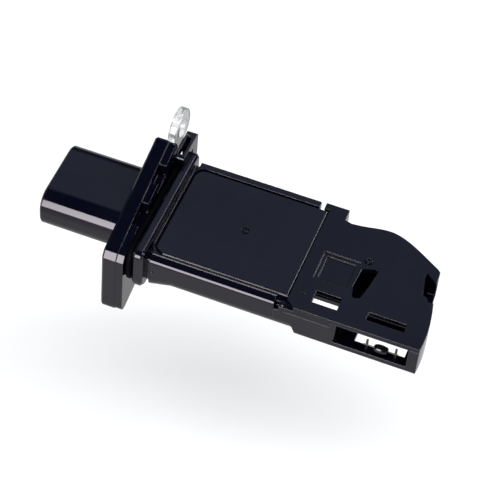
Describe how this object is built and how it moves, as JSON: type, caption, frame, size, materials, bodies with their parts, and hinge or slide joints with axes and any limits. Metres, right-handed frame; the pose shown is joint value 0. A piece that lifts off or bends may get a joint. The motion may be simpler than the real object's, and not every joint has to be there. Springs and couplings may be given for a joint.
{
  "type": "mass airflow sensor",
  "caption": "Plug-in mass airflow sensor: keyed electrical socket, sealed screw flange, boxed electronics body and a sensing tip with a bypass air duct.",
  "frame": {"origin": "on the flange's seat face, at the middle of the neck's width and of the body's centre plane", "axes": "+X along the body towards the sensing tip, +Y across the body, away from the air inlet, +Z out of the cover plate"},
  "size_m": [0.115, 0.0507, 0.0391],
  "materials": {
    "black_plastic": "smooth glossy black, glass-filled",
    "contact_metal": "tin plated",
    "bright_steel": "bright zinc plated",
    "clear_plastic": "colourless, clear and glossy",
    "seal_rubber": "matt black",
    "grey_silicone": "satin",
    "plate_aluminium": "mill finish",
    "board_ceramic": "matt",
    "chip_resin": "matt",
    "resistor_ceramic": "matt",
    "capacitor_ceramic": "matt",
    "clear_gel": "soft and clear",
    "sensor_silicon": "polished",
    "seal_resin": "cast resin",
    "bead_glass": "glazed"
  },
  "bodies": {
    "root": {"housing": "black_plastic", "connector_terminals": "contact_metal", "screw_sleeve": "bright_steel", "screw_eyelet": "clear_plastic", "seal_ring": "seal_rubber", "cover_plate": "black_plastic", "cover_adhesive": "grey_silicone", "base_plate": "plate_aluminium", "circuit_board": "board_ceramic", "control_chip": "chip_resin", "board_resistors": "resistor_ceramic", "board_capacitors": "capacitor_ceramic", "protective_gel": "clear_gel", "bypass_base": "black_plastic", "bypass_lid": "black_plastic", "sensor_carrier": "chip_resin", "sensor_chip": "sensor_silicon", "chip_seal": "seal_resin", "bead_leadframe": "contact_metal", "bead_wires": "contact_metal", "temperature_bead": "bead_glass"}
  },
  "joints": []
}
